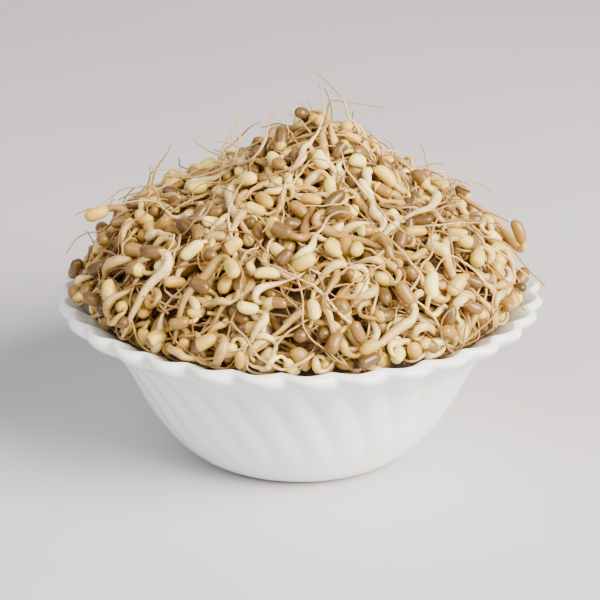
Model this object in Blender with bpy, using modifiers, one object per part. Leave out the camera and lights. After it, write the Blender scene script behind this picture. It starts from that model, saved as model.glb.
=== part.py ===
"""A fluted opal glass bowl heaped with moth bean sprouts.

The bowl is a turned shell whose wall is waved into swirling flutes that end in a scalloped rim.
The heap is one solid: a mound that fills the bowl, with the beans and stems of its outer sprouts
standing out of it. The sprouts that lie loose on top are solids of their own.

Sizes in this file are millimetres, and the objects are made in metres. +Z is up, the origin is
the middle of the foot, and -Y is the front.
"""

import math
from collections import namedtuple

import bmesh
import bpy
import numpy as np
from mathutils import Matrix, Vector
from mathutils.bvhtree import BVHTree

MM = 0.001

# Bowl: (radius, height) down the wall, in the crests of its flutes
BOWL_HEIGHT = 42.0
LOBES = 32
STEPS_PER_LOBE = 4
FIRST_LOBE = math.radians(-88.5)
FLUTE_TWIST = 0.42
RIM_SCALLOP = 2.0
FLUTE_DEPTH = 0.95
INNER_FLUTE_DEPTH = 0.15
FLUTES_GROW = (6.0, 30.0)
SCALLOPS_GROW = (34.0, 40.0)
NOTCH_SOFTNESS = 0.02
INNER_WALL = [(0.0, 3.2), (26.5, 4.6), (34.0, 12.0), (40.2, 23.6), (44.8, 31.6), (50.4, 37.4),
              (57.2, 41.5)]
RIM_ROUND = [(58.9, 42.0), (60.0, 40.8)]
OUTER_WALL = [(58.4, 38.7), (53.0, 35.4), (47.4, 30.0), (42.9, 22.0), (38.8, 13.6), (34.2, 6.9),
              (29.6, 2.3), (25.4, 0.0), (0.0, 0.0)]

# Shape of the heap: where the middles of its outermost sprouts lie
HEAP_CENTRE = np.array([0.0, 0.0, 37.0])
HEAP_EDGE = 38.0
HEAP_RISE = 32.5
PEAK = (4.5, 2.5)
PEAK_RISE = 13.0
PEAK_WIDTH = 17.0
HEAP_REACH = 53.0
REACH_SKEW = 0.4
HEAP_SLOPE = 0.22
SLOPE_SKEW = 0.02
SHOULDER_POWER = 6
DIP_PLACE = (29.0, 4.0)
DIP_DEPTH = 5.0
DIP_WIDTH = 9.0
RIPPLE = 1.2
RIPPLE_LENGTH = (7.0, 6.5)
FLATTEST_CROWN = 4.0
BEYOND_HEAP = 90.0

# Core of the heap: it ends this deep under the heap's surface, or this far from the bowl
CLEARANCE = 0.4
CORE_DEPTH = 5.4
CORE_BOWL_GAP = 0.6
CORE_RIM_RISE = 0.05
CORE_AROUND = 28
CORE_UP = 14

# Sprouts: those of the heap are fewer and stouter than life, the loose ones are life-size
SEED = 3
HEAP_SPROUTS = 100
LOWEST_SPOT = 0.93
SPOT_CROWDING = 0.82
LOWEST_SPROUT = 40.0
GOLDEN_ANGLE = math.pi * (3 - math.sqrt(5))
BEAN_LENGTH = 7.2
BEAN_RADIUS = 1.8
BEAN_WIDEST = 0.47
BLUNT_END = 0.45
HOOK_LENGTH = 4.6
HOOK_TURN = (1.6, 3.0)
STEM_BEND = 0.3
NECK_RADIUS = 0.85
STEM_RADIUS = 1.25
ROOT_RADIUS = 0.4
Form = namedtuple("Form", "scale bean_points hook_points stem_points stem_length rise sink")
HEAP_FORM = Form(1.5, 3, 2, 2, 8.0, (-2.8, 0.6), 8.6)
LOOSE_FORM = Form(1.05, 4, 4, 6, 19.0, (0.5, 1.0), 0.0)

# Loose sprouts: (east, north) of the bean, the heading of the stem in degrees from uphill, and
# how far the bean's free end stands out
LOOSE_SEED = 5
LOOSE_PLACES = [(-54, -3, 20, 8), (54, -1, 170, 3), (-4, -8, 100, 3), (9, -3, 200, 2),
                (17, 1, 150, 3), (-37, -27, -60, 3), (-14, -45, 40, 3), (22, -43, 200, 3),
                (44, -20, 40, 3), (-30, 24, 160, 3), (6, 44, 30, 4), (40, 26, 120, 3),
                (-8, -27, -120, 3), (12, -22, 80, 3)]
SETTLE_FROM = 9.0
SETTLE_STEP = 0.3


def flute_wave(turn):
    """1 on the crest of a flute and 0 in the notch between two; turn is the angle from a crest."""
    crest = np.sqrt(np.cos(turn * LOBES / 2) ** 2 + NOTCH_SOFTNESS)
    lowest = math.sqrt(NOTCH_SOFTNESS)
    highest = math.sqrt(1 + NOTCH_SOFTNESS)
    return (crest - lowest) / (highest - lowest)


def flute_depth(z, inside):
    """How deep the notches between the flutes are at height z."""
    rim = np.interp(z, SCALLOPS_GROW, (0, 1)) ** 2
    wall = INNER_FLUTE_DEPTH if inside else FLUTE_DEPTH * np.interp(z, FLUTES_GROW, (0, 1))
    return wall + (RIM_SCALLOP - wall) * rim


def inner_profile():
    """The bowl's inside and rim as (radius, height) rows, taken in the notches."""
    rows = [(max(r - flute_depth(z, True), 0) if r else 0, z) for r, z in INNER_WALL]
    return np.array(rows + RIM_ROUND + OUTER_WALL[:4])


def bowl_gap(p):
    """How far each point of p is from the glass, negative inside it, and the way out of it."""
    rows = inner_profile()
    radius = np.hypot(p[..., 0], p[..., 1])
    spot = np.stack([radius, p[..., 2]], -1)
    best = np.full(radius.shape, 1e9)
    gap = np.zeros(radius.shape)
    way = np.zeros(spot.shape)
    for start, end in zip(rows[:-1], rows[1:]):
        run = end - start
        along = np.clip(((spot - start) @ run) / (run @ run), 0, 1)
        apart = spot - start - along[..., None] * run
        distance = np.linalg.norm(apart, axis=-1)
        side = np.sign(run[0] * (spot[..., 1] - start[1]) - run[1] * (spot[..., 0] - start[0]))
        nearer = distance < best
        best = np.where(nearer, distance, best)
        gap = np.where(nearer, distance * side, gap)
        out = apart / np.maximum(distance, 1e-9)[..., None] * side[..., None]
        way = np.where(nearer[..., None], out, way)
    flat = p[..., :2] / np.maximum(radius, 1e-6)[..., None]
    return gap, np.concatenate([flat * way[..., :1], way[..., 1:]], -1)


def keep_off_bowl(p, radius):
    """p, moved where it needs to be so that balls of this radius clear the bowl."""
    for _ in range(3):
        gap, way = bowl_gap(p)
        p = p + way * np.maximum(radius + CLEARANCE - gap, 0)[..., None]
    return p


def clear_of_bowl(line, radii):
    """line, moved where the straight runs between its points would cut into the bowl."""
    thick = np.maximum(radii[:-1], radii[1:])
    for _ in range(6):
        for share in (0.25, 0.5, 0.75):
            between = line[:, :-1] * (1 - share) + line[:, 1:] * share
            moved = keep_off_bowl(between, thick) - between
            line[:, :-1] += moved
            line[:, 1:] += moved
    return line


def heap_level(p):
    """How far p is on the way from the heap's middle to its surface: less than 1 within it."""
    x, y, z = p[..., 0], p[..., 1], p[..., 2]
    side = x / np.maximum(np.hypot(x, y), 1e-6)
    reach = HEAP_REACH - REACH_SKEW * side
    slope = HEAP_SLOPE + SLOPE_SKEW * side
    from_peak = np.hypot(x - PEAK[0], y - PEAK[1])
    from_dip = np.hypot(x - DIP_PLACE[0], y - DIP_PLACE[1])
    crown = HEAP_RISE - slope * from_peak + PEAK_RISE * np.exp(-(from_peak / PEAK_WIDTH) ** 2)
    crown = crown - DIP_DEPTH * np.exp(-(from_dip / DIP_WIDTH) ** 2)
    crown = crown + RIPPLE * np.sin(x / RIPPLE_LENGTH[0] + 1) * np.sin(y / RIPPLE_LENGTH[1] + 2)
    climb = np.maximum(z - HEAP_EDGE, 0) / np.maximum(crown, FLATTEST_CROWN)
    return (np.hypot(x, y) / reach) ** SHOULDER_POWER + climb ** 2


def heap_surface(p):
    """The outward direction of the heap's surface near p, and p's distance from it."""
    nudge = 0.2
    level = np.sqrt(heap_level(p))
    slope = np.stack([(np.sqrt(heap_level(p + nudge * axis)) - level) / nudge for axis in np.eye(3)], -1)
    steepness = np.maximum(np.linalg.norm(slope, axis=-1), 0.008)
    return slope / steepness[..., None], (level - 1) / steepness


def on_heap(p, height):
    """p, moved to lie this far above the heap's surface."""
    for _ in range(4):
        out, distance = heap_surface(p)
        p = p - out * np.clip(distance - height, -3, 3)[..., None]
    return p


def reach(rays, within):
    """How far along each ray from the heap's centre the points are still within."""
    low = np.zeros(len(rays))
    high = np.full(len(rays), BEYOND_HEAP)
    for _ in range(24):
        middle = (low + high) / 2
        inside = within(HEAP_CENTRE + rays * middle[:, None])
        low = np.where(inside, middle, low)
        high = np.where(inside, high, middle)
    return low


def in_heap(p):
    return heap_level(p) < 1


def in_bowl_and_heap(p):
    gap, _ = bowl_gap(p)
    above_floor = p[:, 2] > INNER_WALL[0][1] + CLEARANCE
    return in_heap(p) & above_floor & (gap > CORE_BOWL_GAP)


def dome_spots(count):
    """Places over the heap's surface from its top down to the rim, a little closer lower down."""
    order = np.arange(count) + 0.5
    up = 1 - (order / count) ** SPOT_CROWDING * LOWEST_SPOT
    angle = order * GOLDEN_ANGLE
    flat = np.sqrt(1 - up ** 2)
    rays = np.stack([flat * np.cos(angle), flat * np.sin(angle), up], -1)
    return HEAP_CENTRE + rays * reach(rays, in_heap)[:, None]


def unit(v):
    return v / np.maximum(np.linalg.norm(v, axis=-1, keepdims=True), 1e-9)


def sprout_shape(form):
    """The length of each step along a sprout from its bean's free end, and its thickness there."""
    share = np.linspace(0, 2 * BEAN_WIDEST, form.bean_points)
    bean = BEAN_RADIUS * np.sqrt(1 - (share / BEAN_WIDEST - 1) ** 2 * (1 - BLUNT_END ** 2))
    hook = np.linspace(NECK_RADIUS, STEM_RADIUS, form.hook_points)
    stem = np.linspace(STEM_RADIUS, ROOT_RADIUS, form.stem_points + 1)[1:]
    steps = [0.0] + [BEAN_LENGTH * share[1]] * (form.bean_points - 1)
    steps += [HOOK_LENGTH / form.hook_points] * form.hook_points
    steps += [form.stem_length / form.stem_points] * form.stem_points
    return np.array(steps) * form.scale, np.concatenate([bean, hook, stem]) * form.scale


def drape(start, way, turns, heights, steps, radii):
    """Centre lines that run over the heap from start, as count x points x 3.

    At each point the line turns, goes a step on, and keeps its height above the heap.
    """
    p = start
    line = []
    for i, step in enumerate(steps):
        out, _ = heap_surface(p)
        way = unit(way - out * np.sum(way * out, -1, keepdims=True))
        turn = turns[:, i]
        way = way * np.cos(turn)[:, None] + np.cross(out, way) * np.sin(turn)[:, None]
        p = on_heap(p + way * step, heights[:, i])
        p[:, 2] = np.maximum(p[:, 2], LOWEST_SPROUT)
        p = keep_off_bowl(p, radii[i])
        if line:
            way = unit(p - line[-1])
        line.append(p)
    return clear_of_bowl(np.stack(line, 1), radii)


def lay_sprouts(rng, start, way, form, lift=0.0):
    """Centre lines of sprouts of this form: a straight bean, a hook, and a stem that sinks."""
    count = len(start)
    steps, radii = sprout_shape(form)
    hook_end = form.bean_points + form.hook_points
    hook = rng.uniform(*HOOK_TURN, count) * rng.choice([-1.0, 1.0], count) / form.hook_points
    turns = rng.uniform(-STEM_BEND, STEM_BEND, (count, len(steps)))
    turns[:, :form.bean_points] = 0
    turns[:, form.bean_points:hook_end] = hook[:, None]
    share = np.maximum(np.arange(len(steps)) - form.bean_points, 0) / (len(steps) - 1 - form.bean_points)
    rise = rng.uniform(*form.rise, count)
    heights = rise[:, None] * (1 - share) - form.sink * share ** 1.5
    heights += np.maximum(1 - np.arange(len(steps)) / hook_end, 0) * np.reshape(lift, (-1, 1))
    return drape(start, way, turns, heights, steps, radii)


def new_object(name, mesh, collection=None):
    obj = bpy.data.objects.new(name, mesh)
    (collection or bpy.context.scene.collection).objects.link(obj)
    return obj


def evaluated_copy(obj, weld=True):
    """A plain mesh object in place of obj and its modifiers or bevel, facing out."""
    bpy.context.view_layer.update()
    graph = bpy.context.evaluated_depsgraph_get()
    mesh = bpy.data.meshes.new_from_object(obj.evaluated_get(graph))
    mesh.transform(obj.matrix_world)
    name = obj.name
    home = obj.users_collection[0]
    bpy.data.objects.remove(obj)
    bm = bmesh.new()
    bm.from_mesh(mesh)
    if weld:
        bmesh.ops.remove_doubles(bm, verts=bm.verts, dist=1e-6)
        bmesh.ops.recalc_face_normals(bm, faces=bm.faces)
    bm.to_mesh(mesh)
    bm.free()
    mesh.name = name
    copy = new_object(name, mesh, home)
    copy.name = name
    return copy


def new_material(name, colour, roughness):
    material = bpy.data.materials.new(name)
    material.use_nodes = True
    shader = material.node_tree.nodes["Principled BSDF"]
    shader.inputs["Base Color"].default_value = (*colour, 1)
    shader.inputs["Roughness"].default_value = roughness
    shader.inputs["Metallic"].default_value = 0
    return material


def finish(obj, material, collection):
    """Give a part its material and put it in the object's own collection."""
    obj.data.materials.clear()
    obj.data.materials.append(material)
    for home in list(obj.users_collection):
        home.objects.unlink(obj)
    collection.objects.link(obj)


def make_bowl():
    """The turned shell, swirled and drawn in along the notches between its flutes."""
    profile = INNER_WALL + RIM_ROUND + OUTER_WALL
    mesh = bpy.data.meshes.new("bowl")
    points = [(r * MM, 0, z * MM) for r, z in profile]
    mesh.from_pydata(points, [(i, i + 1) for i in range(len(points) - 1)], [])
    bowl = new_object("bowl", mesh)
    screw = bowl.modifiers.new("turn", "SCREW")
    screw.steps = screw.render_steps = LOBES * STEPS_PER_LOBE
    screw.use_merge_vertices = True
    screw.merge_threshold = 0.0001
    bowl = evaluated_copy(bowl)
    for vertex in bowl.data.vertices:
        x, y, z = vertex.co / MM
        radius = math.hypot(x, y)
        angle = math.atan2(y, x)
        inside = vertex.normal.x * x + vertex.normal.y * y < 0
        drawn_in = flute_depth(z, inside) * (1 - flute_wave(angle))
        radius = max(radius - drawn_in, 0) if radius > 1 else 0
        angle += FIRST_LOBE + FLUTE_TWIST * (1 - z / BOWL_HEIGHT)
        vertex.co = Vector((radius * math.cos(angle), radius * math.sin(angle), z)) * MM
    bowl.data.shade_smooth()
    return bowl


def make_core(collection):
    """The mound: a ball shaped below to the bowl's inside and above to the heap."""
    bm = bmesh.new()
    bmesh.ops.create_uvsphere(bm, u_segments=CORE_AROUND, v_segments=CORE_UP, radius=1)
    rays = np.array([vertex.co for vertex in bm.verts])
    depth = np.where(rays[:, 2] > CORE_RIM_RISE, CORE_DEPTH, 0)
    distance = np.maximum(reach(rays, in_bowl_and_heap) - depth, 0)
    places = keep_off_bowl(HEAP_CENTRE + rays * distance[:, None], CLEARANCE)
    for vertex, place in zip(bm.verts, places):
        vertex.co = Vector(place) * MM
    mesh = bpy.data.meshes.new("core")
    bm.to_mesh(mesh)
    bm.free()
    return new_object("core", mesh, collection)


def make_tube(name, line, radii, sides, collection):
    """A closed tube of changing thickness along a line of points."""
    curve = bpy.data.curves.new(name, "CURVE")
    curve.dimensions = "3D"
    curve.bevel_depth = MM
    curve.bevel_resolution = sides // 2 - 2
    curve.use_fill_caps = True
    spline = curve.splines.new("POLY")
    spline.points.add(len(line) - 1)
    for point, place, radius in zip(spline.points, line, radii):
        point.co = (*(place * MM), 1)
        point.radius = radius
    return evaluated_copy(new_object(name, curve, collection))


def keep_main_body(obj):
    """Fill sealed hollows and drop loose scraps: only the largest outward shell stays."""
    bm = bmesh.new()
    bm.from_mesh(obj.data)
    bmesh.ops.triangulate(bm, faces=bm.faces)
    unseen = set(bm.faces)
    shells = []
    while unseen:
        shell = {unseen.pop()}
        edge_of = list(shell)
        while edge_of:
            face = edge_of.pop()
            near = {other for edge in face.edges for other in edge.link_faces} & unseen
            unseen -= near
            shell |= near
            edge_of += near
        shells.append(shell)
    sizes = [shell_volume(shell) for shell in shells]
    keep = shells[sizes.index(max(sizes))]
    bmesh.ops.delete(bm, geom=[face for face in bm.faces if face not in keep], context="FACES")
    bm.to_mesh(obj.data)
    bm.free()


def shell_volume(faces):
    total = 0.0
    for face in faces:
        a, b, c = [vert.co for vert in face.verts]
        total += a.dot(b.cross(c)) / 6
    return total


def make_heap(rng, helpers):
    """The core and the sprouts that stand out of it, joined into one body."""
    core = make_core(helpers)
    ways = rng.normal(size=(HEAP_SPROUTS, 3))
    lines = lay_sprouts(rng, dome_spots(HEAP_SPROUTS), ways, HEAP_FORM)
    _, radii = sprout_shape(HEAP_FORM)
    pieces = bpy.data.collections.new("heap pieces")
    bpy.context.scene.collection.children.link(pieces)
    for line in lines:
        make_tube("sprout", line, radii, 4, pieces)
    join = core.modifiers.new("join", "BOOLEAN")
    join.operation = "UNION"
    join.operand_type = "COLLECTION"
    join.collection = pieces
    join.solver = "MANIFOLD"
    heap = evaluated_copy(core, weld=False)
    for piece in list(pieces.objects):
        bpy.data.objects.remove(piece)
    bpy.data.collections.remove(pieces)
    keep_main_body(heap)
    heap.name = heap.data.name = "sprout_heap"
    return heap


def tree_of(obj):
    bm = bmesh.new()
    bm.from_mesh(obj.data)
    tree = BVHTree.FromBMesh(bm)
    bm.free()
    return tree


def settle(line, radii, trees, helpers):
    """line, lowered onto what lies under it until a slightly thicker sprout would touch."""
    out, _ = heap_surface(line)
    way = unit(np.mean(out, 0))
    ghost = make_tube("ghost", line + way * SETTLE_FROM, radii + CLEARANCE, 6, helpers)
    sunk = 0.0
    while sunk < 2 * SETTLE_FROM:
        ghost.data.transform(Matrix.Translation(-way * SETTLE_STEP * MM))
        tree = tree_of(ghost)
        if any(tree.overlap(other) for other in trees):
            break
        sunk += SETTLE_STEP
    bpy.data.objects.remove(ghost)
    return line + way * (SETTLE_FROM - sunk)


def loose_lines():
    """Centre lines of the loose sprouts, before they settle."""
    rng = np.random.default_rng(LOOSE_SEED)
    east, north, heading, lift = np.array(LOOSE_PLACES, float).T
    start = on_heap(np.stack([east, north, np.full(len(east), 60.0)], -1), 2.0)
    out, _ = heap_surface(start)
    uphill = unit(np.array([0, 0, 1.0]) - out * out[:, 2:])
    turn = np.radians(heading)[:, None]
    way = uphill * np.cos(turn) + np.cross(out, uphill) * np.sin(turn)
    return lay_sprouts(rng, start, way, LOOSE_FORM, lift)


def make_loose_sprouts(ground, helpers):
    """The sprouts on top, each settled onto the heap, the bowl and the ones before it."""
    _, radii = sprout_shape(LOOSE_FORM)
    trees = [tree_of(obj) for obj in ground]
    sprouts = []
    for number, line in enumerate(loose_lines(), 1):
        line = settle(line, radii, trees, helpers)
        sprout = make_tube(f"loose_sprout_{number:02d}", line, radii, 6, helpers)
        trees.append(tree_of(sprout))
        sprouts.append(sprout)
    return sprouts


def main():
    for obj in list(bpy.data.objects):
        bpy.data.objects.remove(obj)
    parts = bpy.data.collections.new("bowl of moth bean sprouts")
    helpers = bpy.data.collections.new("helpers")
    helpers.hide_render = True
    for collection in (parts, helpers):
        bpy.context.scene.collection.children.link(collection)
    rng = np.random.default_rng(SEED)
    bowl = make_bowl()
    heap = make_heap(rng, helpers)
    loose = make_loose_sprouts([bowl, heap], helpers)
    finish(bowl, new_material("opal glass", (0.80, 0.83, 0.82), 0.12), parts)
    finish(heap, new_material("sprout stems", (0.80, 0.74, 0.58), 0.45), parts)
    for sprout in loose:
        finish(sprout, new_material(sprout.name, (0.60, 0.42, 0.20), 0.4), parts)


main()
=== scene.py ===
"""The finished look of a fluted opal glass bowl heaped with moth bean sprouts.

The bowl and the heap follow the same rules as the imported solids. Sizes in this file are
millimetres unless a name says otherwise, and pieces are made in metres. +Z is up, the origin is
the middle of the bowl's foot, and -Y is the front.
"""

import math

import bmesh
import bpy
import numpy as np
from mathutils import Matrix, Vector


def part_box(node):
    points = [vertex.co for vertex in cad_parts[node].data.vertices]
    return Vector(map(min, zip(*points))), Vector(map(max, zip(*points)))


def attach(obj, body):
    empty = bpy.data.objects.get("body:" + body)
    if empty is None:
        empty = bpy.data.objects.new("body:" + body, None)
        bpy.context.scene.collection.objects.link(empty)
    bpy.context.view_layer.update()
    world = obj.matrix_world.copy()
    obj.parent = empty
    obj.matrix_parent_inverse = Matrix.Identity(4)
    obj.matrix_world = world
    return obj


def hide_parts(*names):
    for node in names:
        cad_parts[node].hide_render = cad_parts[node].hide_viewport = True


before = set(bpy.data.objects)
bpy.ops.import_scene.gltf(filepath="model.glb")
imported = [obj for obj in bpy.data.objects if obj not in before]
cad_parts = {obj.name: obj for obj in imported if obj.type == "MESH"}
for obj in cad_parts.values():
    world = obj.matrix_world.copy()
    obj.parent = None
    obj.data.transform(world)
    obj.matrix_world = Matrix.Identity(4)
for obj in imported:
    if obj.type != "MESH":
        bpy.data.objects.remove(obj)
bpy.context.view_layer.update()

MM = 0.001
TINY = 1e-6

# Bowl: (radius, height) down the wall, in the crests of its flutes
BOWL_HEIGHT = 42.0
LOBES = 32
AROUND_LOBE = 14
FIRST_LOBE = math.radians(-88.5)
FLUTE_TWIST = 0.42
RIM_SCALLOP = 2.0
FLUTE_DEPTH = 0.95
INNER_FLUTE_DEPTH = 0.15
FLUTES_GROW = (6.0, 30.0)
SCALLOPS_GROW = (34.0, 40.0)
NOTCH_SOFTNESS = 0.02
INNER_WALL = [(0.0, 3.2), (26.5, 4.6), (34.0, 12.0), (40.2, 23.6), (44.8, 31.6), (50.4, 37.4),
              (57.2, 41.5)]
RIM_ROUND = [(58.9, 42.0), (60.0, 40.8)]
OUTER_WALL = [(58.4, 38.7), (53.0, 35.4), (47.4, 30.0), (42.9, 22.0), (38.8, 13.6), (34.2, 6.9),
              (29.6, 2.3), (25.4, 0.0), (0.0, 0.0)]
ROWS_PER_STEP = 5
HUB_RADIUS = 2.0
SEAM_WELD = 0.01
POLE_WELD = 0.001
BOWL_TOP = 50.0
CLEAR_ROUNDS = 6

# Shape of the heap: where the middles of its outermost sprouts lie
HEAP_CENTRE = np.array([0.0, 0.0, 37.0])
HEAP_EDGE = 38.0
HEAP_RISE = 32.5
PEAK = (4.5, 2.5)
PEAK_RISE = 13.0
PEAK_WIDTH = 17.0
HEAP_REACH = 53.0
REACH_SKEW = 0.4
HEAP_SLOPE = 0.22
SLOPE_SKEW = 0.02
SHOULDER_POWER = 6
DIP_PLACE = (29.0, 4.0)
DIP_DEPTH = 5.0
DIP_WIDTH = 9.0
RIPPLE = 1.2
RIPPLE_LENGTH = (7.0, 6.5)
FLATTEST_CROWN = 4.0
BEYOND_HEAP = 90.0
HALVINGS = 24
SLOPE_NUDGE = 0.2
FLATTEST_SLOPE = 0.008
LONGEST_MOVE = 3.0

# Packed mass under the outer sprouts
CLEARANCE = 0.4
CORE_DEPTH = 9.0
CORE_BOWL_GAP = 0.6
CORE_RIM_RISE = 0.0
CORE_LUMPS = 0.8
LUMP_WAVES = (1.1, 1.3, 1.2)
LUMP_PHASES = (0.0, 1.0, 2.0)
CORE_AROUND = 96
CORE_UP = 48

# Sprouts: (how many, lowest and highest bean) of each layer from the top down, then bare roots
SEED = 12
LAYERS = [(390, -1.4, 1.5), (220, -4.8, -2.5), (90, -7.4, -5.5)]
BARE_ROOTS = (160, -3.5, -0.5)
DEEP = -2.4
LAYER_TURN = 1.3
LOWEST_SPOT = 1.0
GOLDEN_ANGLE = math.pi * (3 - math.sqrt(5))

# Points of a sprout's line: through its bean, along its stem and along its root
BEAN_POINTS = 5
STEM_POINTS = 9
ROOT_POINTS = 11
POINTS = BEAN_POINTS + STEM_POINTS + ROOT_POINTS
HOOK_POINTS = 4
POINTS_IN_BEAN = 2

# Lengths between those points, and the sprout's thickness at them
SIZE_RANGE = (0.84, 1.1)
BEAN_STEP = 1.5
STEM_STEP = (1.05, 1.55)
ROOT_STEP = (1.0, 2.0)
BEAN_RADIUS = 1.75
BEAN_SPAN = 0.8
BEAN_TAPER = 0.55
NECK_IN_BEAN = 0.9
NECK_RADIUS = 0.62
STEM_RADIUS = 1.26
STEM_WIDEST = 0.38
STOUTNESS = (0.62, 1.08)
ROOT_RADIUS = 0.38
ROOT_START = 0.9
TIP_RADIUS = 0.15

# How a sprout hooks, curls, tilts, arches and sinks on its way over the heap
HOOK_TURN = (1.6, 3.1)
STEM_CURL = 0.13
ROOT_CURL = 0.4
COIL = 0.6
COIL_STEP = 0.35
WANDER = 0.7
BEAN_TILT = (0.3, 0.5)
TILT_LIMITS = (-0.6, 1.2)
ARCH = (-1.0, 2.5)
ARCH_SHARE = 3
BARE_ARCH = 3.5
SINK = (-1.0, 5.0)
SINK_POWER = 1.3
SWAY = 0.6
SWAY_STEP = 0.6
TURN_UP = 0.4

# Roots that stand up from the heap, and how far sprouts may rise from it or hang past the rim
WHISKERS = 0.26
WHISKERS_FROM = 52.0
WHISKER_REACH = (4.0, 11.0)
HIGHEST = 2.8
SPREAD_AT_RIM = 2.2
RIM_ZONE = (42.0, 52.0)
LOWEST_STRAND = 38.2
WIDEST_STRAND = (49.0, 56.0)
LOWEST_TURN = 42.0

# Beans: their form, how much of the coat is left on them, and which end it is on
BEAN_LENGTH = 7.2
BEAN_PLUMPNESS = (0.82, 1.0)
BEAN_STRETCH = (0.64, 0.9)
SEAM_WIDTH = 0.12
BEND_MIDDLE = 0.4
COAT_EDGES = (-0.6, 0.7)
COAT_END_ODDS = [0.7, 0.3]
FULL_COATS = 0.36
BARE_BEANS = 0.3
ALL_THE_WAY = 1.6

# Tones: 0 is a fresh pale sprout and 1 a dull one, drawn at random; deep sprouts take only darker tones and
# the top layer paler ones as painted shade, and roots that show bare start part way to tan
DEEP_SHADE_TONE = 0.5
TOP_TONE = 0.85
AGED = (0.3, 0.6)

# Settling: (points apart, stiffness) of the ties along a sprout, and how neighbours push it
SETTLE_ROUNDS = 90
TIES = ((4, 0.12), (2, 0.3), (1, 0.9), (1, 0.9))
NEIGHBOURS_EVERY = 6
NEIGHBOUR_MARGIN = 0.8
OWN_POINTS_APART = 5
PUSH = 1.3
NO_PLACE = -99

# Loose sprouts: (east, north) of the bean, the heading of the stem in degrees from uphill, and
# how far the bean's free end stands out
LOOSE_SEED = 5
LOOSE_PLACES = [(-54, -3, 20, 8), (54, -1, 170, 3), (-4, -8, 100, 3), (9, -3, 200, 2),
                (17, 1, 150, 3), (-37, -27, -60, 3), (-14, -45, 40, 3), (22, -43, 200, 3),
                (44, -20, 40, 3), (-30, 24, 160, 3), (6, 44, 30, 4), (40, 26, 120, 3),
                (-8, -27, -120, 3), (12, -22, 80, 3)]
LOOSE_RISE = (0.5, 1.0)
LOOSE_SCALE = 1.05
LOOSE_BEAN = 4
LOOSE_HOOK = 4
LOOSE_STEM = 6
LOOSE_STEM_LENGTH = 19.0
LOOSE_BEAN_RADIUS = 1.8
BEAN_WIDEST = 0.47
BLUNT_END = 0.45
LOOSE_NECK_RADIUS = 0.85
LOOSE_STEM_RADIUS = 1.25
LOOSE_ROOT_RADIUS = 0.4
HOOK_LENGTH = 4.6
STEM_BEND = 0.3
LOWEST_SPROUT = 40.0
LOOSE_HOOK_TURN = (1.6, 3.0)
LOOSE_START = (60.0, 2.0)
LOOSE_ROUNDS = 4
BOWL_ROUNDS = 3
LOOSE_GAP = 0.3
LOOSE_TONES = (0.1, 0.8)

# Camera, studio, and (place, size, watts, colour) of its lights, with place and size in metres
EYE_DISTANCE = 450.0
EYE_ELEVATION = math.radians(22.78)
EYE_AIM = math.radians(2.0)
LENS = 106.6
SENSOR = 36
NEAREST_SEEN = 10.0
STUDIO_HALF = 1600.0
STUDIO_BACK = 900.0
STUDIO_RISE = 1400.0
STUDIO_BEND = 350.0
STUDIO_STEPS = 24
SKY = ("#DCDDE6", 0.23)
WINDOW = ((0.76, -0.62, 0.66), 0.7, 62, "#FFF8EC")
ROOM = ((-0.7, -0.6, 0.8), 0.9, 12, "#F4F4F6")


def rgb(code):
    """Linear colour of an sRGB hex code, with alpha 1."""
    parts = [int(code[i:i + 2], 16) / 255 for i in (1, 3, 5)]
    return tuple(c / 12.92 if c < 0.04045 else ((c + 0.055) / 1.055) ** 2.4 for c in parts) + (1.0,)


def grain(size):
    """The scale of a texture whose marks are this many millimetres across."""
    return 1 / (size * MM)


def add(tree, kind, *values, stops=(), **named):
    """A node of this kind. Values and capitalised names are its inputs, the other names its settings.

    An input is given a plain value, a socket, or a node whose first output it takes. The stops of
    a colour ramp are (place, hex code).
    """
    node = tree.nodes.new(kind)
    inputs = list(enumerate(values))
    for name, value in named.items():
        if name[0].isupper():
            inputs.append((name.replace("_", " "), value))
        else:
            setattr(node, name, value)
    for key, value in inputs:
        source = value.outputs[0] if isinstance(value, bpy.types.Node) else value
        if isinstance(source, bpy.types.NodeSocket):
            tree.links.new(source, node.inputs[key])
        else:
            node.inputs[key].default_value = source
    for i, (place, code) in enumerate(stops):
        if i == len(node.color_ramp.elements):
            node.color_ramp.elements.new(place)
        node.color_ramp.elements[i].position = place
        node.color_ramp.elements[i].color = rgb(code)
    return node


def flute_depth(z, inside):
    """How deep the notches between the flutes are at height z."""
    rim = np.interp(z, SCALLOPS_GROW, (0, 1)) ** 2
    wall = INNER_FLUTE_DEPTH if inside else FLUTE_DEPTH * np.interp(z, FLUTES_GROW, (0, 1))
    return wall + (RIM_SCALLOP - wall) * rim


def inner_profile():
    """The bowl's inside and rim as (radius, height) rows, taken in the notches."""
    rows = [(max(r - flute_depth(z, True), 0) if r else 0, z) for r, z in INNER_WALL]
    return np.array(rows + RIM_ROUND + OUTER_WALL[:4])


def bowl_gap(p):
    """How far each point of p is from the glass, negative inside it, and the way out of it."""
    rows = inner_profile()
    radius = np.hypot(p[..., 0], p[..., 1])
    spot = np.stack([radius, p[..., 2]], -1)
    best = np.full(radius.shape, np.inf)
    gap = np.zeros(radius.shape)
    way = np.zeros(spot.shape)
    for start, end in zip(rows[:-1], rows[1:]):
        run = end - start
        along = np.clip(((spot - start) @ run) / (run @ run), 0, 1)
        apart = spot - start - along[..., None] * run
        distance = np.linalg.norm(apart, axis=-1)
        side = np.sign(run[0] * (spot[..., 1] - start[1]) - run[1] * (spot[..., 0] - start[0]))
        nearer = distance < best
        best = np.where(nearer, distance, best)
        gap = np.where(nearer, distance * side, gap)
        out = apart / np.maximum(distance, TINY)[..., None] * side[..., None]
        way = np.where(nearer[..., None], out, way)
    flat = p[..., :2] / np.maximum(radius, TINY)[..., None]
    return gap, np.concatenate([flat * way[..., :1], way[..., 1:]], -1)


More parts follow.
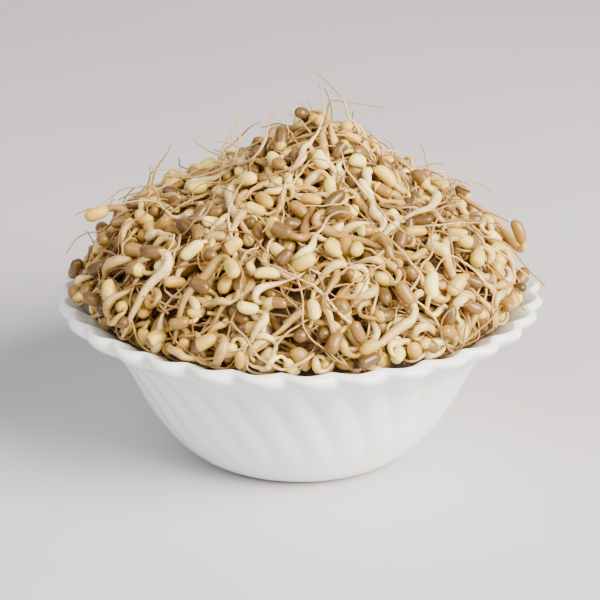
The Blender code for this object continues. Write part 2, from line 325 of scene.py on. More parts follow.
def keep_off_bowl(p, radius, rounds=1):
    """p, moved where it needs to be so that balls of this radius clear the bowl."""
    for _ in range(rounds):
        gap, way = bowl_gap(p)
        p = p + way * np.maximum(radius + CLEARANCE - gap, 0)[..., None]
    return p


def clear_of_bowl(line, radii):
    """line, moved where the straight runs between its points would cut into the bowl."""
    thick = np.maximum(radii[:-1], radii[1:])
    for _ in range(CLEAR_ROUNDS):
        for share in (0.25, 0.5, 0.75):
            between = line[:, :-1] * (1 - share) + line[:, 1:] * share
            moved = keep_off_bowl(between, thick, BOWL_ROUNDS) - between
            line[:, :-1] += moved
            line[:, 1:] += moved
    return line


def heap_level(p):
    """How far p is on the way from the heap's middle to its surface: less than 1 within it."""
    x, y, z = p[..., 0], p[..., 1], p[..., 2]
    side = x / np.maximum(np.hypot(x, y), TINY)
    edge = HEAP_REACH - REACH_SKEW * side
    slope = HEAP_SLOPE + SLOPE_SKEW * side
    from_peak = np.hypot(x - PEAK[0], y - PEAK[1])
    from_dip = np.hypot(x - DIP_PLACE[0], y - DIP_PLACE[1])
    crown = HEAP_RISE - slope * from_peak + PEAK_RISE * np.exp(-(from_peak / PEAK_WIDTH) ** 2)
    crown = crown - DIP_DEPTH * np.exp(-(from_dip / DIP_WIDTH) ** 2)
    crown = crown + RIPPLE * np.sin(x / RIPPLE_LENGTH[0] + 1) * np.sin(y / RIPPLE_LENGTH[1] + 2)
    climb = np.maximum(z - HEAP_EDGE, 0) / np.maximum(crown, FLATTEST_CROWN)
    return (np.hypot(x, y) / edge) ** SHOULDER_POWER + climb ** 2


def heap_surface(p):
    """The outward direction of the heap's surface near p, and p's distance from it."""
    level = np.sqrt(heap_level(p))
    slope = np.stack([(np.sqrt(heap_level(p + SLOPE_NUDGE * axis)) - level) / SLOPE_NUDGE
                      for axis in np.eye(3)], -1)
    steepness = np.maximum(np.linalg.norm(slope, axis=-1), FLATTEST_SLOPE)
    return slope / steepness[..., None], (level - 1) / steepness


def on_heap(p, height, rounds=2):
    """p, moved to lie this far above the heap's surface."""
    for _ in range(rounds):
        out, distance = heap_surface(p)
        p = p - out * np.clip(distance - height, -LONGEST_MOVE, LONGEST_MOVE)[..., None]
    return p


def ray_lengths(rays, within):
    """How far along each ray from the heap's centre the points are still within."""
    low = np.zeros(len(rays))
    high = np.full(len(rays), BEYOND_HEAP)
    for _ in range(HALVINGS):
        middle = (low + high) / 2
        inside = within(HEAP_CENTRE + rays * middle[:, None])
        low = np.where(inside, middle, low)
        high = np.where(inside, high, middle)
    return low


def in_heap(p):
    """Which points of p are in the heap."""
    return heap_level(p) < 1


def in_bowl_and_heap(p):
    """Which points of p are in the heap, above the bowl's floor and off its wall."""
    gap, _ = bowl_gap(p)
    above_floor = p[:, 2] > INNER_WALL[0][1] + CLEARANCE
    return in_heap(p) & above_floor & (gap > CORE_BOWL_GAP)


def dome_spots(count, turn=0.0):
    """Even places over the heap's surface, from its top down to the rim."""
    order = np.arange(count) + 0.5
    up = 1 - order / count * LOWEST_SPOT
    angle = order * GOLDEN_ANGLE + turn
    flat = np.sqrt(1 - up ** 2)
    rays = np.stack([flat * np.cos(angle), flat * np.sin(angle), up], -1)
    return HEAP_CENTRE + rays * ray_lengths(rays, in_heap)[:, None]


def unit(v):
    """v with each arrow's length made 1."""
    return v / np.maximum(np.linalg.norm(v, axis=-1, keepdims=True), TINY)


def turned(way, out, angle):
    """way, laid flat on the heap and turned about its outward direction."""
    way = unit(way - out * np.sum(way * out, -1, keepdims=True))
    return way * np.cos(angle)[:, None] + np.cross(out, way) * np.sin(angle)[:, None]


def sprout_radii(size, stout, bare):
    """Thickness at each point of sprouts and bare roots, as count x points."""
    share = np.linspace(-BEAN_SPAN, BEAN_SPAN, BEAN_POINTS)
    bean = BEAN_RADIUS * np.sqrt(1 - BEAN_TAPER * share ** 2)
    along = np.linspace(0, 1, STEM_POINTS)
    swell = np.sin(np.minimum(along / STEM_WIDEST, 1) * math.pi / 2)
    fade = np.clip((along - STEM_WIDEST) / (1 - STEM_WIDEST), 0, 1)
    stem = NECK_RADIUS + (STEM_RADIUS - NECK_RADIUS) * swell
    stem = stem * (1 - fade) + ROOT_RADIUS * fade
    root = np.geomspace(ROOT_RADIUS * ROOT_START, TIP_RADIUS, ROOT_POINTS)
    rows = (len(size), 1)
    sprout = np.concatenate([np.tile(bean, rows), stem * stout[:, None], np.tile(root, rows)], 1)
    strand = np.geomspace(ROOT_RADIUS, TIP_RADIUS, POINTS)
    return np.where(bare[:, None], strand, sprout) * size[:, None]


def within_rim(p):
    """p, drawn in where it would hang over the rim and raised where it would sink too deep."""
    widest = np.interp(p[..., 2], (LOWEST_STRAND, BOWL_HEIGHT), WIDEST_STRAND)
    widest = widest + np.maximum(p[..., 2] - BOWL_HEIGHT, 0)
    share = np.minimum(widest / np.maximum(np.hypot(p[..., 0], p[..., 1]), TINY), 1)
    return np.stack([p[..., 0] * share, p[..., 1] * share, np.maximum(p[..., 2], LOWEST_STRAND)], -1)


def lay_sprouts(rng, start, rise, bare):
    """Sprouts that run over the heap from start: lines, sizes, radii, and which roots stand up.

    A line is points x 3, from the bean's free end to the root's tip. A bare sprout is only a root.
    """
    count = len(start)
    size = rng.uniform(*SIZE_RANGE, count)
    radii = sprout_radii(size, rng.uniform(*STOUTNESS, count), bare)
    stem_step = rng.uniform(*STEM_STEP, count) * size
    root_step = rng.uniform(*ROOT_STEP, count)
    hook = rng.uniform(*HOOK_TURN, count) * rng.choice([-1.0, 1.0], count) / HOOK_POINTS
    tilt = np.clip(rng.normal(*BEAN_TILT, count), *TILT_LIMITS)
    arch = rng.uniform(*ARCH, count)
    sink = rng.uniform(*SINK, count)
    whisker = (rng.random(count) < WHISKERS) & (start[:, 2] > WHISKERS_FROM)
    sink = np.where(whisker, -rng.uniform(*WHISKER_REACH, count), sink)
    phase = rng.uniform(0, 2 * math.pi, count)
    curl = rng.normal(0, 1, count)
    wander = rng.uniform(-1, 1, (count, POINTS))
    way = rng.normal(size=(count, 3))
    p = start
    line = []
    for i in range(POINTS):
        # The line runs straight through the bean, hooks back at the neck, then curls and wanders
        out, _ = heap_surface(p)
        past_bean = i - BEAN_POINTS
        past_stem = past_bean - STEM_POINTS
        curve = STEM_CURL if past_stem < 0 else ROOT_CURL
        turn = curve * (curl * COIL * math.cos(i * COIL_STEP) + wander[:, i] * WANDER)
        if past_bean < HOOK_POINTS:
            turn = np.where(bare, turn, hook if past_bean >= 0 else 0)
        step = root_step if past_stem >= 0 else stem_step if past_bean >= 0 else BEAN_STEP * size
        way = turned(way, out, turn)
        p = p + way * np.where(bare, root_step, step)[:, None] * min(i, 1)
        # The bean's free end stands out of the heap, the stem arches over it and the root sinks
        from_neck = max(BEAN_POINTS - 1 - i, 0) * BEAN_STEP
        along = max(past_bean, 0) / (POINTS - BEAN_POINTS)
        height = rise + np.tan(tilt) * from_neck + arch * math.sin(min(along * ARCH_SHARE, 1) * math.pi)
        height = height - sink * along ** SINK_POWER + SWAY * np.sin(phase + i * SWAY_STEP) * along
        strand = rise + BARE_ARCH * math.sin(i / (POINTS - 1) * math.pi) - sink * along
        p = within_rim(on_heap(p, np.where(bare, strand, height)))
        p = np.where((p[:, 2] < BOWL_TOP)[:, None], keep_off_bowl(p, radii[:, i]), p)
        way = unit(p - line[-1]) if line else way
        way[:, 2] += np.where(p[:, 2] < LOWEST_TURN, TURN_UP, 0)
        line.append(p)
    return np.stack(line, 1), size, radii, whisker


def near_pairs(p, limit):
    """Index pairs of the points of p that are closer than the limit, found cell by cell."""
    cell = np.floor(p / limit).astype(np.int64)
    cell = cell - cell.min(0) + 1
    width = cell.max(0) + 2
    key = (cell[:, 2] * width[1] + cell[:, 1]) * width[0] + cell[:, 0]
    order = np.argsort(key, kind="stable")
    ranked = key[order]
    # Only half of the cells around each cell, so that a pair is found once
    shifts = [(x, y, z) for z in (0, 1) for y in (-1, 0, 1) for x in (-1, 0, 1)]
    shifts = [s for s in shifts if s[2] > 0 or s[1] > 0 or (s[1] == 0 and s[0] >= 0)]
    first = []
    second = []
    for x, y, z in shifts:
        other = key + (z * width[1] + y) * width[0] + x
        low = np.searchsorted(ranked, other, "left")
        many = np.searchsorted(ranked, other, "right") - low
        a = np.repeat(np.arange(len(p)), many)
        skip = np.repeat(np.cumsum(many) - many, many)
        b = order[np.arange(len(a)) - skip + np.repeat(low, many)]
        keep = a < b if (x, y, z) == (0, 0, 0) else np.full(len(a), True)
        keep &= np.sum((p[a] - p[b]) ** 2, -1) < limit ** 2
        first.append(a[keep])
        second.append(b[keep])
    return np.concatenate(first), np.concatenate(second)


def push_apart(p, radius, pairs, movable):
    """p, after each pair of balls that overlap has moved apart."""
    a, b = pairs
    between = p[a] - p[b]
    distance = np.linalg.norm(between, axis=-1)
    push = np.maximum(radius[a] + radius[b] - distance, 0)
    touching = push > 0
    a, b, push = a[touching], b[touching], push[touching]
    way = between[touching] / np.maximum(distance[touching], TINY)[:, None]
    move = way * (push * np.where(movable[a] & movable[b], 0.5, 1.0))[:, None]
    hits = np.bincount(a, minlength=len(p)) + np.bincount(b, minlength=len(p))
    total = [np.bincount(a, move[:, k], len(p)) - np.bincount(b, move[:, k], len(p)) for k in range(3)]
    return p + np.stack(total, -1) / np.maximum(hits, 1)[:, None] * PUSH * movable[:, None]


def keep_lengths(line, lengths):
    """Pull the points of each line back to the lengths between them, and keep it from folding."""
    for gap, stiffness in TIES:
        apart = line[:, gap:] - line[:, :-gap]
        distance = np.linalg.norm(apart, axis=-1, keepdims=True)
        move = apart * (1 - lengths[gap][..., None] / np.maximum(distance, TINY)) * stiffness / 2
        line[:, :-gap] += move
        line[:, gap:] -= move


def settle(line, radii, fixed, fixed_radii, highest):
    """line, after its sprouts have pushed each other, the fixed balls and the bowl apart."""
    count = len(line)
    lengths = {gap: np.linalg.norm(line[:, gap:] - line[:, :-gap], axis=-1) for gap, _ in TIES}
    owner = np.concatenate([np.repeat(np.arange(count), POINTS), np.full(len(fixed), -1)])
    place = np.concatenate([np.tile(np.arange(POINTS), count), np.full(len(fixed), NO_PLACE)])
    radius = np.concatenate([radii.ravel(), fixed_radii])
    movable = owner >= 0
    limit = 2 * BEAN_RADIUS * SIZE_RANGE[1] + NEIGHBOUR_MARGIN
    for step in range(SETTLE_ROUNDS):
        p = np.concatenate([line.reshape(-1, 3), fixed])
        if step % NEIGHBOURS_EVERY == 0:
            a, b = near_pairs(p, limit)
            apart = (owner[a] != owner[b]) | (np.abs(place[a] - place[b]) > OWN_POINTS_APART)
            apart &= movable[a] | movable[b]
            pairs = (a[apart], b[apart])
        p = push_apart(p, radius, pairs, movable)
        line = p[:count * POINTS].reshape(count, POINTS, 3)
        keep_lengths(line, lengths)
        # What stands too high comes down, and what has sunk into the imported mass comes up
        out, distance = heap_surface(line)
        spread = SPREAD_AT_RIM * np.interp(line[..., 2], RIM_ZONE, (1, 0))
        excess = np.maximum(distance - highest - spread, 0) - np.maximum(radii - CORE_DEPTH - distance, 0)
        line = within_rim(line - out * np.clip(excess, -1, 1)[..., None])
        low = line[..., 2] < BOWL_TOP
        line[low] = keep_off_bowl(line[low], radii[low])
    return line


def loose_shape():
    """The length of each step along a loose sprout from its bean's free end, and its thickness."""
    share = np.linspace(0, 2 * BEAN_WIDEST, LOOSE_BEAN)
    bean = LOOSE_BEAN_RADIUS * np.sqrt(1 - (share / BEAN_WIDEST - 1) ** 2 * (1 - BLUNT_END ** 2))
    hook = np.linspace(LOOSE_NECK_RADIUS, LOOSE_STEM_RADIUS, LOOSE_HOOK)
    stem = np.linspace(LOOSE_STEM_RADIUS, LOOSE_ROOT_RADIUS, LOOSE_STEM + 1)[1:]
    steps = [0.0] + [BEAN_LENGTH * share[1]] * (LOOSE_BEAN - 1)
    steps += [HOOK_LENGTH / LOOSE_HOOK] * LOOSE_HOOK + [LOOSE_STEM_LENGTH / LOOSE_STEM] * LOOSE_STEM
    return np.array(steps) * LOOSE_SCALE, np.concatenate([bean, hook, stem]) * LOOSE_SCALE


def loose_lines():
    """Centre lines of the loose sprouts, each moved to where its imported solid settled."""
    rng = np.random.default_rng(LOOSE_SEED)
    east, north, heading, lift = np.array(LOOSE_PLACES, float).T
    count = len(east)
    start_height, start_rise = LOOSE_START
    p = on_heap(np.stack([east, north, np.full(count, start_height)], -1), start_rise, LOOSE_ROUNDS)
    out, _ = heap_surface(p)
    way = turned(unit(np.array([0, 0, 1.0]) - out * out[:, 2:]), out, np.radians(heading))
    steps, radii = loose_shape()
    last = len(steps) - 1
    hook_end = LOOSE_BEAN + LOOSE_HOOK
    hook = rng.uniform(*LOOSE_HOOK_TURN, count) * rng.choice([-1.0, 1.0], count) / LOOSE_HOOK
    turns = rng.uniform(-STEM_BEND, STEM_BEND, (count, len(steps)))
    turns[:, :LOOSE_BEAN] = 0
    turns[:, LOOSE_BEAN:hook_end] = hook[:, None]
    rise = rng.uniform(*LOOSE_RISE, count)
    line = []
    for i, step in enumerate(steps):
        share = max(i - LOOSE_BEAN, 0) / (last - LOOSE_BEAN)
        height = rise * (1 - share) + lift * max(1 - i / hook_end, 0)
        out, _ = heap_surface(p)
        way = turned(way, out, turns[:, i])
        p = on_heap(p + way * step, height, LOOSE_ROUNDS)
        p[:, 2] = np.maximum(p[:, 2], LOWEST_SPROUT)
        p = keep_off_bowl(p, radii[i], BOWL_ROUNDS)
        way = unit(p - line[-1]) if line else way
        line.append(p)
    line = clear_of_bowl(np.stack(line, 1), radii)
    for k in range(count):
        low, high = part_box(f"loose_sprout_{k + 1:02d}")
        middle = np.array((low + high) / 2) / MM
        own = (np.min(line[k] - radii[:, None], 0) + np.max(line[k] + radii[:, None], 0)) / 2
        line[k] += middle - own
    return line


def new_rule(name, inputs):
    """A node tree for a piece, with these named inputs, and its group input's sockets."""
    tree = bpy.data.node_groups.new(name, "GeometryNodeTree")
    tree.interface.new_socket("Geometry", in_out="INPUT", socket_type="NodeSocketGeometry")
    for label, kind in inputs.items():
        tree.interface.new_socket(label, in_out="INPUT", socket_type="NodeSocket" + kind)
    tree.interface.new_socket("Material", in_out="INPUT", socket_type="NodeSocketMaterial")
    tree.interface.new_socket("Geometry", in_out="OUTPUT", socket_type="NodeSocketGeometry")
    return tree, add(tree, "NodeGroupInput").outputs


def end_rule(tree, given, geometry):
    """Close a tree: real mesh, smooth shading and the piece's material."""
    real = add(tree, "GeometryNodeRealizeInstances", geometry)
    smooth = add(tree, "GeometryNodeSetShadeSmooth", real)
    painted = add(tree, "GeometryNodeSetMaterial", smooth, Material=given["Material"])
    add(tree, "NodeGroupOutput", painted)
    return tree


def new_piece(name, mesh):
    """An object with this mesh, at the origin."""
    piece = bpy.data.objects.new(name, mesh)
    bpy.context.scene.collection.objects.link(piece)
    return piece


def run_rule(name, mesh, tree, values, modify=None):
    """A plain mesh piece made by a node tree from a mesh of points."""
    start = new_piece(name + "_start", mesh)
    if modify:
        modify(start)
    rule = start.modifiers.new(tree.name, "NODES")
    rule.node_group = tree
    for item in tree.interface.items_tree:
        if item.in_out == "INPUT" and item.name in values:
            rule[item.identifier] = values[item.name]
    bpy.context.view_layer.update()
    made = bpy.data.meshes.new_from_object(start.evaluated_get(bpy.context.evaluated_depsgraph_get()))
    bpy.data.objects.remove(start)
    made.name = name
    return new_piece(name, made)


def flute_rule():
    """Draws a turned shell in along swirling notches, and scallops its rim."""
    tree, given = new_rule("fluting", {
        "Lobes": "Float", "Twist": "Float", "First lobe": "Float", "Height": "Float",
        "Rim scallop": "Float", "Flute depth": "Float", "Inner flute depth": "Float"})
    xyz = add(tree, "ShaderNodeSeparateXYZ", add(tree, "GeometryNodeInputPosition")).outputs
    flat = add(tree, "ShaderNodeCombineXYZ", xyz["X"], xyz["Y"])
    radius = add(tree, "ShaderNodeVectorMath", flat, operation="LENGTH").outputs["Value"]
    facing = add(tree, "ShaderNodeVectorMath", flat, add(tree, "GeometryNodeInputNormal"),
                 operation="DOT_PRODUCT").outputs["Value"]
    outside = add(tree, "ShaderNodeMath", facing, 0.0, operation="GREATER_THAN")
    risen = add(tree, "ShaderNodeMath", xyz["Z"], given["Height"], operation="DIVIDE")
    drop = add(tree, "ShaderNodeMath", 1.0, risen, operation="SUBTRACT")
    swirl = add(tree, "ShaderNodeMath", drop, given["Twist"], given["First lobe"], operation="MULTIPLY_ADD")
    angle = add(tree, "ShaderNodeMath", xyz["Y"], xyz["X"], operation="ARCTAN2")
    turn = add(tree, "ShaderNodeMath", angle, swirl, operation="SUBTRACT")
    half_lobes = add(tree, "ShaderNodeMath", given["Lobes"], 0.5, operation="MULTIPLY")
    turn = add(tree, "ShaderNodeMath", turn, half_lobes, operation="MULTIPLY")
    wave = add(tree, "ShaderNodeMath", turn, operation="COSINE")
    crest = add(tree, "ShaderNodeMath", wave, wave, NOTCH_SOFTNESS, operation="MULTIPLY_ADD")
    crest = add(tree, "ShaderNodeMath", crest, operation="SQRT")
    lowest = math.sqrt(NOTCH_SOFTNESS)
    highest = math.sqrt(1 + NOTCH_SOFTNESS)
    notch = add(tree, "ShaderNodeMapRange", crest, highest, lowest)
    rim = add(tree, "ShaderNodeMapRange", xyz["Z"], SCALLOPS_GROW[0] * MM, SCALLOPS_GROW[1] * MM)
    rim = add(tree, "ShaderNodeMath", rim, 2.0, operation="POWER")
    wall = add(tree, "ShaderNodeMapRange", xyz["Z"], FLUTES_GROW[0] * MM, FLUTES_GROW[1] * MM,
               0.0, given["Flute depth"])
    wall = add(tree, "ShaderNodeMapRange", outside, 0.0, 1.0, given["Inner flute depth"], wall)
    depth = add(tree, "ShaderNodeMapRange", rim, 0.0, 1.0, wall, given["Rim scallop"])
    drawn_in = add(tree, "ShaderNodeMath", depth, notch, operation="MULTIPLY")
    hub = add(tree, "ShaderNodeMath", radius, HUB_RADIUS * MM, operation="GREATER_THAN")
    drawn_in = add(tree, "ShaderNodeMath", drawn_in, hub, operation="MULTIPLY")
    wide = add(tree, "ShaderNodeMath", radius, HUB_RADIUS * MM, operation="MAXIMUM")
    share = add(tree, "ShaderNodeMath", drawn_in, wide, operation="DIVIDE")
    inward = add(tree, "ShaderNodeVectorMath", flat, operation="SCALE", Scale=share)
    place = add(tree, "ShaderNodeVectorMath", add(tree, "GeometryNodeInputPosition"), inward,
                operation="SUBTRACT")
    moved = add(tree, "GeometryNodeSetPosition", given["Geometry"], Position=place)
    return end_rule(tree, given, moved)


def tube_rule():
    """Round tubes along lines of points, with the thickness that each point carries."""
    tree, given = new_rule("sprout stems", {"Sides": "Int", "Points per step": "Int"})
    curve = add(tree, "GeometryNodeMeshToCurve", given["Geometry"])
    curve = add(tree, "GeometryNodeCurveSplineType", curve, spline_type="CATMULL_ROM")
    curve = add(tree, "GeometryNodeSetSplineResolution", curve, Resolution=given["Points per step"])
    thickness = add(tree, "GeometryNodeInputNamedAttribute", "thickness", data_type="FLOAT")
    ring = add(tree, "GeometryNodeCurvePrimitiveCircle", Resolution=given["Sides"], Radius=1.0)
    tube = add(tree, "GeometryNodeCurveToMesh", curve, ring, Scale=thickness, Fill_Caps=True)
    return end_rule(tree, given, tube)


def bean_rule():
    """A split bean on each point, turned and sized as the point says."""
    tree, given = new_rule("beans", {
        "Around": "Int", "Along": "Int", "Bend": "Float", "Split": "Float", "Bluntness": "Float"})
    ball = add(tree, "GeometryNodeMeshUVSphere", given["Around"], given["Along"], 1.0)
    xyz = add(tree, "ShaderNodeSeparateXYZ", add(tree, "GeometryNodeInputPosition")).outputs
    blunt = add(tree, "ShaderNodeMath", xyz["Z"], xyz["Z"], operation="MULTIPLY")
    blunt = add(tree, "ShaderNodeMath", blunt, given["Bluntness"], 1.0, operation="MULTIPLY_ADD")
    seam = add(tree, "ShaderNodeMath", xyz["X"], xyz["X"], operation="MULTIPLY")
    seam = add(tree, "ShaderNodeMapRange", seam, 0.0, SEAM_WIDTH, given["Split"], 0.0)
    width = add(tree, "ShaderNodeMath", blunt, seam, operation="SUBTRACT")
    along = add(tree, "ShaderNodeMath", xyz["Z"], xyz["Z"], -BEND_MIDDLE, operation="MULTIPLY_ADD")
    bend = add(tree, "ShaderNodeMath", along, given["Bend"], operation="MULTIPLY")
    side = add(tree, "ShaderNodeMath", xyz["Y"], width, bend, operation="MULTIPLY_ADD")
    across = add(tree, "ShaderNodeMath", xyz["X"], blunt, operation="MULTIPLY")
    place = add(tree, "ShaderNodeCombineXYZ", across, side, xyz["Z"])
    bean = add(tree, "GeometryNodeSetPosition", ball, Position=place)
    bean = add(tree, "GeometryNodeStoreNamedAttribute", bean, data_type="FLOAT", domain="POINT",
               Name="share", Value=xyz["Z"])
    bean = add(tree, "GeometryNodeStoreNamedAttribute", bean, data_type="FLOAT", domain="POINT",
               Name="seam", Value=xyz["X"])
    turn = add(tree, "GeometryNodeInputNamedAttribute", "turn", data_type="QUATERNION")
    size = add(tree, "GeometryNodeInputNamedAttribute", "size", data_type="FLOAT_VECTOR")
    beans = add(tree, "GeometryNodeInstanceOnPoints", given["Geometry"], Instance=bean, Rotation=turn,
                Scale=size)
    return end_rule(tree, given, beans)


def attribute(mesh, name, kind, values):
    """Give each point of the mesh a value of this kind."""
    layer = mesh.attributes.new(name, kind, "POINT")
    field = "vector" if kind == "FLOAT_VECTOR" else "value"
    layer.data.foreach_set(field, np.asarray(values, float).ravel())


def point_mesh(name, points, edges=()):
    """A mesh of points in millimetres, and the edges between them."""
    mesh = bpy.data.meshes.new(name)
    mesh.from_pydata((points * MM).tolist(), list(edges), [])
    return mesh


def smooth_rows(rows, sharp):
    """More rows through the given ones on a smooth curve, which keeps the sharp rows as corners."""
    rows = np.array(rows)
    made = []
    for i in range(len(rows) - 1):
        a, b = rows[i], rows[i + 1]
        before = rows[i - 1] if i not in sharp else 2 * a - b
        after = rows[i + 2] if i + 1 not in sharp else 2 * b - a
        for t in np.arange(ROWS_PER_STEP) / ROWS_PER_STEP:
            made.append(0.5 * (2 * a + (b - before) * t + (2 * before - 5 * a + 4 * b - after) * t * t
                               + (3 * a - before - 3 * b + after) * t ** 3))
    return np.maximum(np.array(made + [rows[-1]]), 0)


def make_bowl(glass):
    """The bowl: its profile turned about the foot's middle, then fluted by the rule."""
    profile = INNER_WALL + RIM_ROUND + OUTER_WALL
    last = len(profile) - 1
    rows = smooth_rows(profile, {0, last - 1, last})
    line = np.stack([rows[:, 0], rows[:, 0] * 0, rows[:, 1]], -1)
    mesh = point_mesh("profile", line, [(i, i + 1) for i in range(len(line) - 1)])

    def turn(obj):
        screw = obj.modifiers.new("turn", "SCREW")
        screw.steps = screw.render_steps = LOBES * AROUND_LOBE
        screw.use_merge_vertices = True
        screw.merge_threshold = SEAM_WELD * MM
        screw.use_normal_calculate = True

    values = {"Lobes": float(LOBES), "Twist": FLUTE_TWIST, "First lobe": FIRST_LOBE,
              "Height": BOWL_HEIGHT * MM, "Rim scallop": RIM_SCALLOP * MM, "Flute depth": FLUTE_DEPTH * MM,
              "Inner flute depth": INNER_FLUTE_DEPTH * MM, "Material": glass}
    bowl = run_rule("fluted_bowl", mesh, flute_rule(), values, turn)
    bm = bmesh.new()
    bm.from_mesh(bowl.data)
    bmesh.ops.remove_doubles(bm, verts=bm.verts, dist=POLE_WELD * MM)
    bmesh.ops.recalc_face_normals(bm, faces=bm.faces)
    bm.to_mesh(bowl.data)
    bm.free()
    return bowl


def make_core(material):
    """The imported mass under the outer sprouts, seen only as shade between them."""
    bm = bmesh.new()
    bmesh.ops.create_uvsphere(bm, u_segments=CORE_AROUND, v_segments=CORE_UP, radius=1)
    rays = np.array([v.co for v in bm.verts])
    distance = ray_lengths(rays, in_bowl_and_heap)
    p = HEAP_CENTRE + rays * distance[:, None]
    waves = [np.sin(p[:, k] * LUMP_WAVES[k] + LUMP_PHASES[k]) for k in range(3)]
    lumps = waves[0] * waves[1] * waves[2]
    depth = np.where(rays[:, 2] > CORE_RIM_RISE, CORE_DEPTH + CORE_LUMPS * (lumps - 1), 0)
    places = HEAP_CENTRE + rays * np.maximum(distance - depth, 0)[:, None]
    for vertex, place in zip(bm.verts, places):
        vertex.co = Vector(place) * MM
    mesh = bpy.data.meshes.new("packed_sprouts")
    bm.to_mesh(mesh)
    bm.free()
    mesh.shade_smooth()
    mesh.materials.append(material)
    return new_piece("packed_sprouts", mesh)


def make_stems(name, line, radii, tone, root, material):
    """Stems and roots along these lines. root, one for each line, is how far its colours start along
    the way from bean to tip.
    """
    count, points, _ = line.shape
    first = np.arange(count)[:, None] * points + np.arange(points - 1)
    edges = np.stack([first.ravel(), first.ravel() + 1], -1).tolist()
    mesh = point_mesh(name, line.reshape(-1, 3), edges)
    along = np.broadcast_to(np.linspace(0, 1, points), (count, points))
    attribute(mesh, "thickness", "FLOAT", radii * MM)
    attribute(mesh, "along", "FLOAT", np.clip(along + root[:, None], 0, 1))
    attribute(mesh, "tone", "FLOAT", np.broadcast_to(tone[:, None], (count, points)))
    return run_rule(name, mesh, tube_rule(), {"Sides": 6, "Points per step": 2, "Material": material})


def make_beans(name, line, size, tone, rng, material):
    """Beans along the first points of these lines: line is count x bean points x 3."""
    count = len(line)
    axis = unit(line[:, -1] - line[:, 0])
    middle = line.mean(1)
    out, _ = heap_surface(middle)
    spin = rng.uniform(0, 2 * math.pi, count)
    side = unit(out - axis * np.sum(out * axis, -1, keepdims=True))
    side = side * np.cos(spin)[:, None] + np.cross(axis, side) * np.sin(spin)[:, None]
    across = np.cross(side, axis)
    turns = [Matrix(np.stack(rows, -1).tolist()).to_quaternion() for rows in zip(across, side, axis)]
    plump = rng.uniform(*BEAN_PLUMPNESS, count)
    long = rng.uniform(*BEAN_STRETCH, count) * BEAN_LENGTH / 2
    mesh = point_mesh(name, middle)
    attribute(mesh, "turn", "QUATERNION", [tuple(turn) for turn in turns])
    scale = np.stack([plump * BEAN_RADIUS, plump * BEAN_RADIUS, long], -1) * size[:, None]
    attribute(mesh, "size", "FLOAT_VECTOR", scale * MM)
    attribute(mesh, "tone", "FLOAT", tone)
    coat_edge = rng.uniform(*COAT_EDGES, count)
    kind = rng.random(count)
    coat_edge = np.where(kind < FULL_COATS, -ALL_THE_WAY, coat_edge)
    coat_edge = np.where(kind > 1 - BARE_BEANS, ALL_THE_WAY, coat_edge)
    attribute(mesh, "edge", "FLOAT", coat_edge)
    attribute(mesh, "end", "FLOAT", rng.choice([-1.0, 1.0], count, p=COAT_END_ODDS))
    values = {"Around": 10, "Along": 8, "Bend": 0.3, "Split": 0.1, "Bluntness": 0.4,
              "Material": material}
    return run_rule(name, mesh, bean_rule(), values)


def set_on(piece, slot, *nodes):
    """Hang a piece on the root body and hide these nodes, which it stands for. The slot is not used."""
    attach(piece, "root")
    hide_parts(*nodes)


def new_material(name):
    """A material, its empty node tree, and its object coordinates."""
    material = bpy.data.materials.new(name)
    material.use_nodes = True
    tree = material.node_tree
    tree.nodes.clear()
    return material, tree, add(tree, "ShaderNodeTexCoord").outputs["Object"]


def end_material(material, **inputs):
    """Close a material's tree: a Principled shader with these inputs, and the output."""
    shader = add(material.node_tree, "ShaderNodeBsdfPrincipled", **inputs)
    add(material.node_tree, "ShaderNodeOutputMaterial", shader)
    return material


def opal_glass():
    """Pressed opal glass: white right through, fire-polished, so glossy, with a soft milky depth.

    Faint clouds 25 mm across, a few tiny dark specks, and a ripple 7 mm across in its shine.
    """
    material, tree, place = new_material("opal glass, pressed and fire-polished")
    cloud = add(tree, "ShaderNodeTexNoise", place, Scale=grain(25), Detail=3.0)
    tint = add(tree, "ShaderNodeValToRGB", cloud, stops=[(0.35, "#E5EAE7"), (0.65, "#EDF1EE")])
    spot = add(tree, "ShaderNodeTexVoronoi", place, Scale=grain(4))
    speck = add(tree, "ShaderNodeValToRGB", spot, stops=[(0.0, "#8C8377"), (0.05, "#FFFFFF")])
    rare = add(tree, "ShaderNodeTexNoise", place, Scale=grain(8))
    rare = add(tree, "ShaderNodeMapRange", rare, 0.66, 0.7)
    colour = add(tree, "ShaderNodeMixRGB", rare, tint, speck, blend_type="MULTIPLY")
    smear = add(tree, "ShaderNodeTexNoise", place, Scale=grain(11), Detail=4.0)
    rough = add(tree, "ShaderNodeMapRange", smear, 0.0, 1.0, 0.08, 0.2)
    ripple = add(tree, "ShaderNodeTexNoise", place, Scale=grain(7), Detail=1.0)
    bump = add(tree, "ShaderNodeBump", Strength=0.12, Distance=0.4 * MM, Height=ripple)
    return end_material(material, Base_Color=colour, Roughness=rough, Normal=bump, IOR=1.5,
                        Subsurface_Weight=0.15, Subsurface_Radius=(1.0, 1.0, 1.0),
                        Subsurface_Scale=3 * MM)


def shaded_packed_mass():
    """The inside of the heap, coloured dark brown as painted shade: damp stems and coats 3 mm across, too
    deep to tell apart.
    """
    material, tree, place = new_material("packed sprouts, in shade")
    strands = add(tree, "ShaderNodeTexNoise", place, Scale=grain(3), Detail=3.0, Distortion=1.5)
    colour = add(tree, "ShaderNodeValToRGB", strands, stops=[
        (0.3, "#2E1C0E"), (0.5, "#5A4022"), (0.62, "#86683C"), (0.75, "#AC9264")])
    bump = add(tree, "ShaderNodeBump", Strength=0.8, Distance=1.0 * MM, Height=strands)
    return end_material(material, Base_Color=colour, Roughness=0.6, Normal=bump)


